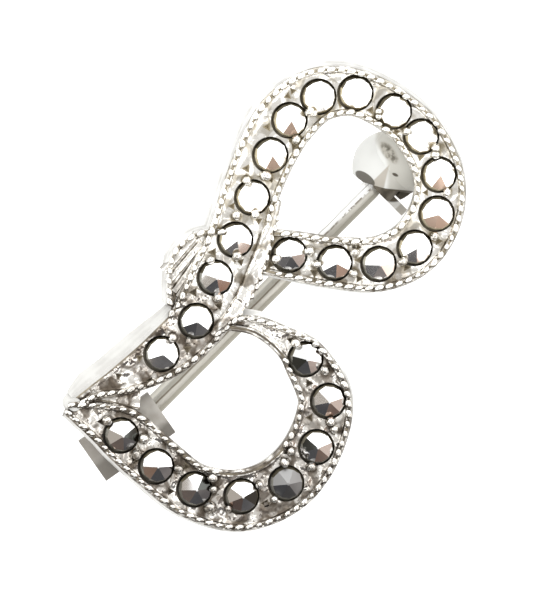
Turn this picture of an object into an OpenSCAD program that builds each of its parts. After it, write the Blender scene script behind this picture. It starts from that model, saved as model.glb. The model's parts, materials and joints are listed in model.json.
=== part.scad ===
/* [Letter] */
// Height from the flat back to the top of the beaded rims
letter_t = 1.4; // [1.35:0.05:1.6]
// Height of the sunk floor that the stones are set in
floor_z = 1.05; // [0.95:0.05:1.1]
// Half the width of a beaded rim
rim_half = 0.15; // [0.1:0.01:0.18]
// How far the outer wall spreads from the rim down to the back
draft = 0.14; // [0.1:0.02:0.2]
// How far the walls of the two openings spread down to the back
inner_draft = 0.04; // [0.02:0.01:0.08]
// Narrow ledge outside the rim
ledge = 0.06; // [0.02:0.02:0.08]
// Height of the small curl that sits behind the waist
curl_t = 1.1; // [1.0:0.05:1.2]
// Points worked out between two rows of a stroke
steps = 4; // [3:1:5]

/* [Stones] */
// Radius of a stone at its girdle
stone_r = 0.92; // [0.88:0.01:0.94]
// Radius of the drilled seat round a stone
seat_r = 1.08; // [1.06:0.01:1.12]
// Height of the seat's floor above the back
seat_z = 0.5; // [0.4:0.05:0.55]
// Height of the stone's body under the girdle
stone_body = 0.3; // [0.25:0.05:0.35]
// Height of the steep bevel that runs round the girdle
bevel_h = 0.24; // [0.2:0.02:0.26]
// Width of the bevel
bevel_w = 0.12; // [0.1:0.01:0.14]
// Height of the six-sided crown above the bevel
crown_h = 0.36; // [0.3:0.02:0.4]
// Radius of the small table on top
table_r = 0.07; // [0.05:0.01:0.12]
// Radius of a bead of silver raised against the stones
grain_r = 0.25; // [0.2:0.01:0.28]

/* [Pin] */
// Depth of the pin's centre line behind the letter's back
pin_depth = 1.95; // [1.9:0.05:2.1]
// Radius of the pin's round wire
pin_r = 0.55; // [0.45:0.05:0.55]
// Length of the ground point
point_l = 2.9; // [2.9:0.1:3.4]
// Length of the root that is filed thinner beside the ears, from the rivet
root_l = 1.3; // [1.3:0.05:1.4]
// Radius of that root at the rivet
root_r = 0.45; // [0.4:0.01:0.5]
// Turn of the pin from the letter's upright
pin_turn = 10; // [9:0.5:11]
// Place of the rivet along the pin's line
rivet_s = -11.6; // [-11.8:0.1:-11.4]
// Place of the catch along the pin's line
catch_s = 8.55; // [8.4:0.05:8.7]
// Length of pin past the middle of the catch
past_catch = 1.35; // [1.2:0.05:1.4]

/* [Hinge] */
// Turn of the hinge from the letter's upright
hinge_turn = 20; // [18:0.5:20]
// Length of the hinge's base plate
plate_l = 4.6; // [4.4:0.1:4.8]
// Width of the hinge's base plate
plate_w = 2.65; // [2.6:0.05:2.8]
// Thickness of the base plate
plate_t = 0.4; // [0.3:0.05:0.5]
// Place of the plate's middle from the rivet, along and across it
plate_shift = [-0.12, -0.25]; // [-0.3:0.01:0]
// Thickness of an ear
ear_t = 0.3; // [0.25:0.05:0.35]
// Radius of an ear round the rivet
ear_r = 1.1; // [1.0:0.05:1.15]
// Inner faces of the left and right ear, from the rivet's middle
ear_in = [-0.75, 0.7]; // [-0.8:0.05:0.75]
// Radius of the rivet
rivet_r = 0.35; // [0.3:0.01:0.38]
// Radius of the pin's eye
eye_r = 0.92; // [0.85:0.01:0.95]
// Half the width of the pin's eye
eye_half = 0.62; // [0.5:0.02:0.62]
// Running clearance on the rivet
running = 0.04; // [0.03:0.01:0.05]

/* [Catch] */
// Radius of the round housing
ball_r = 1.95; // [1.9:0.05:2]
// Place of the housing's middle across the pin's line
ball_shift = -0.2; // [-0.25:0.05:0]
// Radius of the bore that the roller turns in
bore_r = 1.28; // [1.26:0.01:1.3]
// Radius of the roller
roller_r = 1.2; // [1.16:0.01:1.2]
// Radius of the roller's own bore
eyelet_r = 0.68; // [0.66:0.01:0.7]
// Width of the slot that the pin drops through
slot_w = 1.3; // [1.25:0.01:1.32]
// Length of the roller before and behind the middle of the catch
roller_span = [-1.35, 0.85]; // [-1.4:0.05:0.9]
// Reach of the roller's thumb tab from the pin's line
tab_reach = 2.3; // [2.2:0.1:2.5]
// Thickness of the thumb tab
tab_t = 0.4; // [0.3:0.05:0.45]
// Angle of the tab under the letter's plane when the catch is open
tab_angle = 10; // [5:1:15]

/* [Hidden] */
// Strokes: x, y, reach of the left rim, reach of the right rim, looking along the stroke.
// Stones add: turn of the facets, and how far the stone's top leans along x and y, in degrees.
foot_rows = [
    [-5.85, -11.70, 0.15, 0.15],
    [-5.25, -10.35, 0.35, 0.35],
    [-4.45, -9.00, 0.75, 0.80],
];
stem_stones = [
    [-3.40, -6.78, 1.20, 1.25, 55, -2, 0],
    [-2.90, -4.25, 1.35, 1.45, 57, -2, -1],
    [-3.42, -1.74, 1.30, 1.85, 18, 0, 0],
    [-3.71, 0.58, 1.40, 1.50, 16, 0, 0],
    [-4.28, 2.98, 1.60, 1.15, 5, -1, 1],
    [-4.81, 5.42, 1.70, 1.15, 41, 0, 1],
    [-5.06, 7.57, 1.65, 1.30, 34, 0, 0],
    [-4.48, 9.50, 1.50, 1.20, 30, -4, 1],
    [-2.94, 10.82, 1.30, 1.10, 15, -1, 0],
    [-0.65, 11.20, 1.20, 1.10, 50, 1, 1],
    [1.36, 10.92, 1.15, 1.20, 25, 2, 3],
    [3.38, 9.79, 1.15, 1.25, 31, -1, 0],
    [4.52, 7.99, 1.20, 1.35, 54, -1, -2],
    [4.61, 5.78, 1.30, 1.40, 8, 0, 1],
    [3.50, 3.95, 1.30, 1.30, 37, 0, -2],
    [1.48, 2.63, 1.20, 1.20, 6, 0, 0],
    [-0.81, 1.59, 1.15, 1.10, 41, 0, -2],
];
loop_end_rows = [
    [-2.10, 0.97, 1.05, 1.00],
];
bowl_start_rows = [
    [-1.67, -3.43, 0.15, 0.25],
    [-0.20, -2.55, 0.22, 0.45],
    [1.56, -2.32, 0.55, 0.70],
];
bowl_stones = [
    [3.22, -2.56, 1.05, 1.10, 22, 0, 0],
    [5.59, -3.72, 1.10, 1.50, 50, -2, -2],
    [6.51, -6.15, 1.20, 1.55, 54, -1, 0],
    [6.30, -8.69, 1.35, 1.55, 43, 0, 0],
    [4.68, -10.66, 1.55, 1.25, 0, 0, 0],
    [2.34, -11.81, 1.40, 1.20, 37, 2, 2],
    [-0.10, -11.96, 1.30, 1.40, 35, 0, 1],
    [-2.67, -11.67, 1.15, 1.35, 10, 2, 1],
];
bowl_end_rows = [
    [-4.20, -11.75, 0.80, 0.90],
    [-5.17, -11.93, 0.50, 0.50],
    [-5.95, -12.12, 0.20, 0.20],
];
// The pointed foot where the stem and the bowl meet, and the slit inside the curl.
tip = [-5.85, -11.90];
slit = [-5.25, -2.00];
curl_rows = [
    [-4.50, 0.60, 0.30, 0.30],
    [-5.45, -0.45, 0.38, 0.35],
    [-5.98, -1.89, 0.45, 0.30],
    [-5.60, -3.18, 0.40, 0.35],
    [-4.55, -4.28, 0.30, 0.30],
];
band_rows = [
    [-3.10, 3.60, 0.15, 0.12],
    [-2.48, 1.62, 0.30, 0.28],
    [-1.95, -0.08, 0.38, 0.35],
    [-1.62, -1.78, 0.38, 0.35],
    [-1.62, -3.28, 0.30, 0.30],
    [-1.87, -4.38, 0.15, 0.15],
];

// Across a trough: distance out from the crest of the rim, and height.
function trough_wall(spread) = [
    [rim_half + ledge + spread, 0],
    [rim_half + ledge, letter_t - 0.22],
    [rim_half, letter_t - 0.12],
    [0.06, letter_t],
    [-0.06, letter_t],
    [-rim_half, letter_t - 0.12],
    [-rim_half - 0.04, floor_z],
];
outer_wall = trough_wall(draft);
inner_wall = trough_wall(inner_draft);
// Across the band: a plain ridge with rounded shoulders.
band_wall = [
    [0.1, 0],
    [0.05, letter_t - 0.2],
    [-0.06, letter_t - 0.06],
    [-0.2, letter_t - 0.02],
];

// Frame of the pin: along the wire, across it, and the direction of the rivet.
along = [sin(pin_turn), cos(pin_turn), 0];
across = [cos(pin_turn), -sin(pin_turn), 0];
up = [0, 0, 1];
rivet_at = rivet_s * along - pin_depth * up;
catch_at = catch_s * along - pin_depth * up;
rivet_along = [sin(hinge_turn), cos(hinge_turn), 0];
rivet_across = [cos(hinge_turn), -sin(hinge_turn), 0];

// Three places that touch the surface when the brooch lies on its back.
lean_guess = 20;
catch_low = catch_at + ball_shift * across + ball_r * (sin(lean_guess) * across - cos(lean_guess) * up);
ear_low = rivet_at + (ear_in[1] + ear_t) * rivet_across - ear_r * up;
wall_out = rim_half + ledge + draft;
lowest_stone = bowl_stones[3];
bowl_low = [lowest_stone[0], lowest_stone[1], 0] + (lowest_stone[2] + wall_out) * across;
lying = cross(bowl_low - ear_low, catch_low - ear_low);
lying_n = lying / norm(lying);
lying_axis = cross(lying_n, up);
lying_angle = acos(lying_n[2]);
lying_z = -lying_n * catch_low;
// Moves the middle of the lying brooch onto the origin.
middle = [0.646, -0.757];

function spline(a, b, c, d, t) =
    0.5 * (2 * b + (c - a) * t + (2 * a - 5 * b + 4 * c - d) * t * t
        + (3 * b - a - 3 * c + d) * t * t * t);
function near(rows, i) = rows[max(0, min(len(rows) - 1, i))];
function first_four(row) = [for (k = [0:3]) row[k]];
function smooth(rows) = concat(
    [for (i = [0:len(rows) - 2], k = [0:steps - 1])
        spline(near(rows, i - 1), rows[i], rows[i + 1], near(rows, i + 2), k / steps)],
    [rows[len(rows) - 1]]);
function heading(rows, i) = let (
    d = near(rows, i + 1) - near(rows, i - 1),
    l = norm([d[0], d[1]])) [d[0] / l, d[1] / l];
function across_stroke(row, dir, left, right) = concat(
    [for (w = left) let (o = max(0.03, row[2] + w[0]))
        [row[0] - dir[1] * o, row[1] + dir[0] * o, w[1]]],
    [for (k = [len(right) - 1:-1:0]) let (o = max(0.03, row[3] + right[k][0]))
        [row[0] + dir[1] * o, row[1] - dir[0] * o, right[k][1]]]);

module stroke(rows, left, right) {
    line = smooth([for (r = rows) first_four(r)]);
    m = len(left) + len(right);
    n = len(line);
    points = [for (i = [0:n - 1]) each across_stroke(line[i], heading(line, i), left, right)];
    sides = [for (i = [0:n - 2], k = [0:m - 1]) let (
        a = i * m + k,
        b = i * m + (k + 1) % m) each [[a, a + m, b], [b, a + m, b + m]]];
    polyhedron(points, concat(
        [[for (k = [0:m - 1]) k]],
        sides,
        [[for (k = [m - 1:-1:0]) (n - 1) * m + k]]), convexity = 10);
}

module at_stone(row, z) {
    translate([row[0], row[1], z])
        rotate(norm([row[5], row[6]]), [-row[6], row[5], 0.000001])
            children();
}

module seats() {
    for (row = concat(stem_stones, bowl_stones))
        at_stone(row, seat_z) cylinder(h = letter_t, r = seat_r, $fn = 24);
}

// Beads of silver pushed up against the stones, two in each gap between neighbours.
module grains(stones) {
    for (i = [0:len(stones) - 2], side = [-1, 1]) {
        a = stones[i];
        b = stones[i + 1];
        d = [b[0] - a[0], b[1] - a[1]] / norm([b[0] - a[0], b[1] - a[1]]);
        reach = side < 0 ? min(a[2], b[2]) : min(a[3], b[3]);
        o = side * min(reach - rim_half - 0.2, 0.8);
        translate([(a[0] + b[0]) / 2 + d[1] * o, (a[1] + b[1]) / 2 - d[0] * o, 0])
            hull() {
                translate([0, 0, floor_z - 0.1]) cylinder(h = 0.1, r = grain_r, $fn = 8);
                translate([0, 0, letter_t - 0.15]) sphere(r = grain_r * 0.8, $fn = 8);
            }
    }
}

module lie_down() {
    translate([-middle[0], -middle[1], lying_z])
        rotate(lying_angle, lying_axis)
            children();
}

module letter() {
    color("silver") lie_down() {
        difference() {
            union() {
                stroke(concat(foot_rows, stem_stones, loop_end_rows), outer_wall, inner_wall);
                stroke(concat(bowl_start_rows, bowl_stones, bowl_end_rows), outer_wall, inner_wall);
                intersection() {
                    stroke(curl_rows, inner_wall, inner_wall);
                    translate([-9, -6, 0]) cube([6, 9, curl_t]);
                }
                stroke(band_rows, band_wall, band_wall);
                translate([tip[0], tip[1], 0]) cylinder(h = letter_t - 0.2, r1 = 0.45, r2 = 0.35, $fn = 16);
            }
            seats();
            for (k = [-1, 1]) translate([slit[0], slit[1] + k * 0.45, -0.5])
                cylinder(h = 3, r = 0.13, $fn = 12);
            translate([slit[0] - 0.13, slit[1] - 0.45, -0.5]) cube([0.26, 0.9, 3]);
        }
        grains(stem_stones);
        grains(bowl_stones);
    }
}

// A round stone with a small table, six main facets and a bevel of twelve.
// Both cones are drawn down from a point above, so that each cuts the whole stone.
module stone(row) {
    clear = 0.03;
    top = stone_body + bevel_h + crown_h;
    crown_r = (stone_r - bevel_w) / cos(30);
    crown_slope = (crown_r - table_r) / crown_h;
    bevel_slope = bevel_w / bevel_h;
    color("dimgray") lie_down() at_stone(row, seat_z + clear) rotate(row[4])
        intersection() {
            cylinder(h = top, r = stone_r, $fn = 48);
            cylinder(h = top, r1 = table_r + top * crown_slope, r2 = table_r, $fn = 6);
            cylinder(h = top, r1 = (stone_r + stone_body * bevel_slope) / cos(15),
                r2 = (stone_r - (bevel_h + crown_h) * bevel_slope) / cos(15), $fn = 12);
        }
}

module in_pin_frame() {
    lie_down() rotate(-pin_turn) translate([0, 0, -pin_depth]) children();
}

module in_hinge_frame() {
    lie_down() translate(rivet_at) rotate(-hinge_turn) children();
}

module hinge() {
    color("gray") in_hinge_frame() difference() {
        union() {
            translate([plate_shift[0] - plate_w / 2, plate_shift[1] - plate_l / 2, pin_depth - plate_t])
                cube([plate_w, plate_l, plate_t]);
            for (x = [ear_in[0] - ear_t, ear_in[1]]) translate([x, 0, 0]) {
                rotate([0, 90, 0]) cylinder(h = ear_t, r = ear_r, $fn = 48);
                translate([0, -ear_r, 0]) cube([ear_t, 2 * ear_r, pin_depth - plate_t / 2]);
            }
        }
        translate([-2, 0, 0]) rotate([0, 90, 0]) cylinder(h = 4, r = rivet_r + 0.01, $fn = 32);
    }
}

module rivet() {
    head = 0.15;
    left = ear_in[0] - ear_t;
    right = ear_in[1] + ear_t;
    color("lightgray") in_hinge_frame() {
        translate([left - head, 0, 0]) rotate([0, 90, 0])
            cylinder(h = right - left + 2 * head, r = rivet_r, $fn = 32);
        for (x = [left - head, right + 0.01]) translate([x, 0, 0]) rotate([0, 90, 0])
            cylinder(h = head - 0.01, r = rivet_r + 0.15, $fn = 32);
    }
}

module pin() {
    stem_l = catch_s + past_catch - point_l - rivet_s;
    color("gainsboro") difference() {
        union() {
            in_hinge_frame() translate([-eye_half, 0, 0]) rotate([0, 90, 0])
                cylinder(h = 2 * eye_half, r = eye_r, $fn = 48);
            in_pin_frame() translate([0, rivet_s, 0]) rotate([-90, 0, 0]) {
                cylinder(h = root_l, r1 = root_r, r2 = pin_r, $fn = 32);
                translate([0, 0, root_l]) cylinder(h = stem_l - root_l, r = pin_r, $fn = 32);
                translate([0, 0, stem_l]) cylinder(h = point_l, r1 = pin_r, r2 = 0.08, $fn = 32);
            }
        }
        in_hinge_frame() translate([-2, 0, 0]) rotate([0, 90, 0])
            cylinder(h = 4, r = rivet_r + running, $fn = 32);
    }
}

// A hollow ball on a foot. The half next to the letter is cut back on a slant.
module catch() {
    color("darkgray") in_pin_frame() translate([0, catch_s, 0]) difference() {
        union() {
            translate([ball_shift, 0, 0]) sphere(r = ball_r, $fn = 64);
            translate([-0.9, 0.6, 0.6]) cube([1.8, 2.6, pin_depth - 0.6]);
        }
        rotate([90, 0, 0]) translate([0, 0, -0.95]) cylinder(h = 4, r = bore_r, $fn = 48);
        rotate([90, 0, 0]) translate([0, 0, -1.55]) cylinder(h = 4, r = eyelet_r, $fn = 32);
        translate([-slot_w / 2, -3, -3]) cube([slot_w, 4.55, 3]);
        translate([-3, -3.8, -3]) cube([6, 3, 3]);
        translate([ball_shift, 0, 0]) rotate(31) translate([-3, -4.05, -0.01]) cube([6, 3, 3]);
    }
}

module roller() {
    span = roller_span[1] - roller_span[0];
    color("dimgray") in_pin_frame() translate([0, catch_s + roller_span[0], 0]) difference() {
        union() {
            rotate([-90, 0, 0]) cylinder(h = span, r = roller_r, $fn = 48);
            rotate([0, tab_angle, 0]) translate([0.9, 0, -tab_t / 2])
                cube([tab_reach - 0.9, 0.45, tab_t]);
        }
        rotate([-90, 0, 0]) translate([0, 0, -1]) cylinder(h = span + 2, r = eyelet_r, $fn = 32);
        translate([-slot_w / 2, -1, -3]) cube([slot_w, span + 2, 3]);
    }
}

STONES = concat(stem_stones, bowl_stones);
function stone_name(i) = str("stone_", i < 9 ? "0" : "", i + 1);

letter();
hinge();
rivet();
pin();
catch();
roller();
for (i = [0:len(STONES) - 1])
    stone(STONES[i]);
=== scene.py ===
import math

import bmesh
import bpy
import numpy as np
from mathutils import Matrix, Vector
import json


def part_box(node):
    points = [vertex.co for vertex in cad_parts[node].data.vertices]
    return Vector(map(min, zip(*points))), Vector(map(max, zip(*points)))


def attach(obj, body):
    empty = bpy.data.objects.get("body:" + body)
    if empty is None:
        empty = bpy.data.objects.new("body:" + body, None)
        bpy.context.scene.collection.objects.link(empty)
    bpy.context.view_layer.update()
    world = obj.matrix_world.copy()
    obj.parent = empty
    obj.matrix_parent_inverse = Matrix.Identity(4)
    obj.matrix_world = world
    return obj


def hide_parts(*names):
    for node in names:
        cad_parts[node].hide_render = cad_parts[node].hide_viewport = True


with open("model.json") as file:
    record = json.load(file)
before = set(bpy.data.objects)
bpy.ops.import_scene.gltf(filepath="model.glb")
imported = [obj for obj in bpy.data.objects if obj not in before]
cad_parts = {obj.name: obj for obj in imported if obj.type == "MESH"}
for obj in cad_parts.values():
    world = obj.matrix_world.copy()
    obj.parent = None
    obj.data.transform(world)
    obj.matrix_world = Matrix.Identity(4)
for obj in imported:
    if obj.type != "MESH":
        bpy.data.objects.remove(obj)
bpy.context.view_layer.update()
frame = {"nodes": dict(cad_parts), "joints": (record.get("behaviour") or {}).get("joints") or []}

# The lying brooch. Its axes are those of its moving parts, the pin's rivet and the catch's roller. The
# pin's wire is turned 10 degrees from the letter's upright, and lies 1.95 mm behind the letter's flat back.
MM = 0.001
PIN_TURN = math.radians(10)
PIN_DEPTH = 1.95 * MM
CATCH_ALONG = 8.55 * MM

swing = next(j for j in frame["joints"] if j["name"] == "pin_swing")
roll = next(j for j in frame["joints"] if j["name"] == "roller_turn")
along_pin = Vector(roll["axis"]).normalized()
out = (-Vector(swing["axis"])).cross(along_pin).normalized()
across_pin = along_pin.cross(out)
pin_middle = Vector(roll["pos_m"]) - along_pin * CATCH_ALONG
letter_up = along_pin * math.cos(PIN_TURN) - across_pin * math.sin(PIN_TURN)
letter_right = letter_up.cross(out)
letter_origin = pin_middle + out * PIN_DEPTH

# The camera looks 10 degrees off the letter's own normal, from far off, with the letter's foot at the lower
# left. The photograph has 18.4 pixels to the millimetre. The pin's line runs through PIN_LINE_PX, up at 45
# degrees.
VIEW_LEAN = math.radians(10)
PIXELS_PER_MM = 18.4
FRAME_PX = (533, 597)
PIN_LINE_PX = (279.0, 280.4)
CAMERA_FAR = 1.0
CAMERA_CLIP = (0.1, 10)
SENSOR_MM = 36.0


def add_object(name, data):
    """A new object of the scene, with that mesh or camera."""
    made = bpy.data.objects.new(name, data)
    bpy.context.scene.collection.objects.link(made)
    return made


leaned = across_pin * math.cos(VIEW_LEAN) + out * math.sin(VIEW_LEAN)
to_camera = out * math.cos(VIEW_LEAN) - across_pin * math.sin(VIEW_LEAN)
picture_right = (along_pin + leaned).normalized()
picture_up = (along_pin - leaned).normalized()

aim = pin_middle + picture_right * (FRAME_PX[0] / 2 - PIN_LINE_PX[0]) / PIXELS_PER_MM * MM
aim += picture_up * (PIN_LINE_PX[1] - FRAME_PX[1] / 2) / PIXELS_PER_MM * MM
lens = bpy.data.cameras.new("camera")
lens.sensor_width = SENSOR_MM
lens.lens = SENSOR_MM * CAMERA_FAR / (FRAME_PX[1] / PIXELS_PER_MM * MM)
lens.clip_start, lens.clip_end = CAMERA_CLIP
camera = add_object("camera", lens)
camera.matrix_world = Matrix.Translation(aim + to_camera * CAMERA_FAR) @ Matrix(
    (picture_right, picture_up, to_camera)).transposed().to_4x4()
bpy.context.scene.camera = camera

# The light. A white tent stands all round, brightest at its sides and plain white over the middle, where
# the camera looks in. What lies under the brooch's own level is a soft grey. An edge is two cosines.
OVERHEAD = (0.98, 0.975, 0.965, 1)
OVERHEAD_EDGE = (0.78, 0.92)
SIDES = (2.3, 2.29, 2.26, 1)
UNDERSIDE = (0.80, 0.79, 0.765, 1)
UNDERSIDE_EDGE = (-0.12, 0.02)


# A socket is wrapped so that sums of sockets are written as they are on paper. Every other node comes from
# one method, which sets the node's own settings first and then its sockets.
class Sum:
    """A socket of a shader, or of a world, that can be added, multiplied and compared."""

    def __init__(self, nodes, socket):
        self.nodes = nodes
        self.socket = socket

    def maths(self, operation, *values):
        return self.nodes.add("ShaderNodeMath", {"operation": operation}, dict(enumerate(values)))

    def __add__(self, other):
        return self.maths("ADD", self, other)

    def __sub__(self, other):
        return self.maths("SUBTRACT", self, other)

    def __rsub__(self, other):
        return self.maths("SUBTRACT", other, self)

    def __mul__(self, other):
        return self.maths("MULTIPLY", self, other)

    def __truediv__(self, other):
        return self.maths("DIVIDE", self, other)

    def __pow__(self, other):
        return self.maths("POWER", self, other)

    def over(self, low, high):
        """0 below low and 1 above high, with a soft step between."""
        return self.nodes.add("ShaderNodeMapRange", {"interpolation_type": "SMOOTHSTEP"},
                              {"Value": self, "From Min": low, "From Max": high})

    __radd__ = __add__
    __rmul__ = __mul__


class Nodes:
    """The nodes of one tree, which starts empty."""

    def __init__(self, tree):
        self.tree = tree
        tree.nodes.clear()

    def add(self, kind, settings=(), sockets=(), out=0):
        """One node. The result is the one of its outputs that the last value names."""
        node = self.tree.nodes.new(kind)
        for name, value in dict(settings).items():
            setattr(node, name, value)
        for name, value in dict(sockets).items():
            if isinstance(value, Sum):
                self.tree.links.new(value.socket, node.inputs[name])
            else:
                node.inputs[name].default_value = value
        return Sum(self, node.outputs[out]) if node.outputs else None

    def blend(self, share, first, second, way="MIX"):
        """A mix of two colours."""
        return self.add("ShaderNodeMix", {"data_type": "RGBA", "blend_type": way, "clamp_factor": True},
                        {0: share, 6: first, 7: second}, 2)

    def vector(self, operation, *values, out=0):
        """Vector maths on one, two or three values."""
        return self.add("ShaderNodeVectorMath", {"operation": operation}, dict(enumerate(values)), out)

    def dotted(self, value, direction):
        """How far a value reaches along one direction."""
        return self.vector("DOT_PRODUCT", value, direction, out="Value")

    def noise(self, place, per_mm, detail, out=0):
        """Soft clouds, as fine as the number to the millimetre."""
        sockets = {"Vector": place, "Scale": per_mm / MM, "Detail": detail}
        return self.add("ShaderNodeTexNoise", {}, sockets, out)

    def openness(self, reach):
        """1 in the open and 0 deep in a hollow, as seen from within a reach in millimetres."""
        return self.add("ShaderNodeAmbientOcclusion", {"samples": 8}, {"Distance": reach * MM}, "AO")

    def surface(self, kind, sockets):
        """The shader that a material ends in."""
        self.add("ShaderNodeOutputMaterial", {}, {"Surface": self.add(kind, {}, sockets)})


def flattened(direction, normal):
    """A direction as it runs along the plane of that normal."""
    return (direction - normal * direction.dot(normal)).normalized()


upward = Vector((0, 0, 1))
low_side = flattened(-picture_up, upward)
right_side = flattened(picture_right, upward)
world = bpy.data.worlds.new("tent")
world.use_nodes = True
bpy.context.scene.world = world
tent = Nodes(world.node_tree)
light_way = tent.add("ShaderNodeTexCoord", out="Generated")
overhead = tent.dotted(light_way, to_camera).over(*OVERHEAD_EDGE)
tent_colour = tent.blend(overhead, SIDES, OVERHEAD)
above = tent.dotted(light_way, upward).over(*UNDERSIDE_EDGE)
tent_colour = tent.blend(above, UNDERSIDE, tent_colour)
light = tent.add("ShaderNodeBackground", {}, {"Color": tent_colour, "Strength": 1.0})
tent.add("ShaderNodeOutputWorld", {}, {"Surface": light})
bpy.context.scene.view_settings.view_transform = "Standard"

# The dark screen round the lower side of the picture, as a camera and its stand make, low and brown at its
# right end. Only polished faces see it. Its stretches meet at SCREEN_ENDS, in degrees clockwise from the
# picture's right, and its lengths are in millimetres.
SCREEN_MIDDLE = (-0.2, 7.6)
SCREEN_HALF = (13.0, 36.8)
SCREEN_ENDS = (-12, 36.5, 66, 137, 180)
SCREEN_STEPS = 60
DARK_TOP = 25.6
WING_FOOT = 3.5
WING_TOP = 9.0
SCREENS = [
    ("wing_right", WING_FOOT, WING_TOP, (0.6, 0.49, 0.43, 1)),
    ("screen_right", 0, DARK_TOP, (0.3, 0.27, 0.255, 1)),
    ("screen_middle", 0, DARK_TOP, (0.17, 0.165, 0.165, 1)),
    ("screen_left", 0, DARK_TOP, (0.4, 0.36, 0.315, 1))]


def new_material(name):
    """A new material and its nodes."""
    material = bpy.data.materials.new(name)
    material.use_nodes = True
    return material, Nodes(material.node_tree)


def screen_part(name, foot, top, colour, first, last):
    """One stretch of the screen between two of its ends."""
    points = []
    for angle in np.radians(np.linspace(first, last, SCREEN_STEPS)):
        far = 1 / math.hypot(math.cos(angle) / SCREEN_HALF[0], math.sin(angle) / SCREEN_HALF[1])
        x = SCREEN_MIDDLE[0] + far * math.cos(angle)
        y = SCREEN_MIDDLE[1] + far * math.sin(angle)
        place = (right_side * x + low_side * y) * MM
        points += [place + upward * foot * MM, place + upward * top * MM]
    mesh = bpy.data.meshes.new(name)
    mesh.from_pydata(points, [], [(i, i + 1, i + 3, i + 2) for i in range(0, len(points) - 2, 2)])
    part = add_object(name, mesh)
    glow, nodes = new_material(name)
    nodes.surface("ShaderNodeEmission", {"Color": colour, "Strength": 1.0})
    mesh.materials.append(glow)
    part.visible_camera = False
    part.visible_diffuse = False
    part.visible_shadow = False


for screen, *ends in zip(SCREENS, SCREEN_ENDS, SCREEN_ENDS[1:]):
    screen_part(*screen, *ends)

# The floor is plain white paper, far wider than the brooch, lit through from under so that hardly a shadow
# shows.
FLOOR_HALF = 0.6
PAPER_WHITE = (0.6, 0.6, 0.6, 1)
PAPER_GLOW = 0.72

floor_mesh = bpy.data.meshes.new("floor")
floor_corners = [(x * FLOOR_HALF, y * FLOOR_HALF, 0) for x, y in ((-1, -1), (1, -1), (1, 1), (-1, 1))]
floor_mesh.from_pydata(floor_corners, [], [(0, 1, 2, 3)])
floor = add_object("floor", floor_mesh)
paper, paper_nodes = new_material("white_paper")
paper_nodes.surface("ShaderNodeBsdfPrincipled", {
    "Base Color": PAPER_WHITE, "Roughness": 1.0, "Specular IOR Level": 0.0,
    "Emission Color": (1, 1, 1, 1), "Emission Strength": PAPER_GLOW})
floor_mesh.materials.append(paper)
floor.visible_glossy = False

# The letter: one casting of silver, flat behind, with raised rims along both edges of each stroke and a
# sunk floor between them, drilled for the stones. Foot, stem, loop and waist are one stroke, and the lower
# bowl another. A row is x, y and the reaches of its left and right rims, in millimetres.
LETTER_T = 1.4
FLOOR_Z = 1.05
SEAT_Z = 0.5
SEAT_R = 1.01
SEAT_SHIFT_PX = (-1.0, 0.5)
RINGS_PER_ROW = 12
LEAST_REACH = 0.03
STONE_COUNT = 25
STEM_COUNT = 17
FOOT_ROWS = [(-5.85, -11.70, 0.15, 0.15), (-5.25, -10.35, 0.35, 0.35), (-4.45, -9.00, 0.75, 0.80)]
STEM_REACH = [
    (1.20, 1.25), (1.35, 1.45), (1.30, 1.85), (1.40, 1.50), (1.60, 1.15), (1.70, 1.15), (1.65, 1.30),
    (1.40, 1.20), (1.08, 1.10), (1.00, 1.10), (1.02, 1.20), (1.08, 1.25), (1.20, 1.35), (1.30, 1.40),
    (1.30, 1.30), (1.20, 1.20), (1.15, 1.10)]
LOOP_END_ROWS = [(-2.10, 0.97, 1.05, 1.00)]
BOWL_START_ROWS = [(-1.67, -3.43, 0.15, 0.25), (-0.20, -2.55, 0.22, 0.45), (1.56, -2.32, 0.45, 0.70)]
BOWL_REACH = [
    (0.95, 1.10), (1.05, 1.50), (1.20, 1.55), (1.42, 1.55), (1.72, 1.25), (1.45, 1.20), (1.20, 1.40),
    (1.15, 1.35)]
BOWL_END_ROWS = [(-4.20, -11.75, 0.80, 0.90), (-5.17, -11.93, 0.50, 0.50), (-5.95, -12.12, 0.20, 0.20)]
CURL_ROWS = [
    (-4.40, 0.35, 0.30, 0.25), (-5.35, -0.55, 0.95, 0.35), (-5.80, -1.89, 1.35, 0.30),
    (-5.20, -3.18, 1.00, 0.30), (-4.45, -4.18, 0.30, 0.30)]
BAND_ROWS = [
    (-3.10, 3.60, 0.15, 0.12), (-2.48, 1.62, 0.30, 0.28), (-1.95, -0.08, 0.38, 0.35),
    (-1.62, -1.78, 0.38, 0.35), (-1.62, -3.28, 0.30, 0.30), (-1.87, -4.38, 0.15, 0.15)]
TIP = (-5.80, -11.76)
TIP_R = 0.36
TIP_FOOT_R = 0.54

# The stem's left rim is bare at the foot: worn down to a little above the floor, with its wall spread out.
# The spread grows over the first nine rings and runs out again over the last third of the bare share.
BARE_SHARE = 0.19
BARE_SPREAD = 0.36
BARE_GROWS = 9
BARE_FADES = 3
WORN_EDGE = 0.04
WORN_STEPS = 5

inward = np.array([letter_right, letter_up, out])
seats = []
for number in range(1, STONE_COUNT + 1):
    lowest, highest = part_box(f"stone_{number:02d}")
    middle = np.array((lowest + highest) / 2 - letter_origin)
    seats.append(inward @ middle / MM)
stem_rows = [(s[0], s[1], *reach) for s, reach in zip(seats[:STEM_COUNT], STEM_REACH)]
bowl_rows = [(s[0], s[1], *reach) for s, reach in zip(seats[STEM_COUNT:], BOWL_REACH)]


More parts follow.
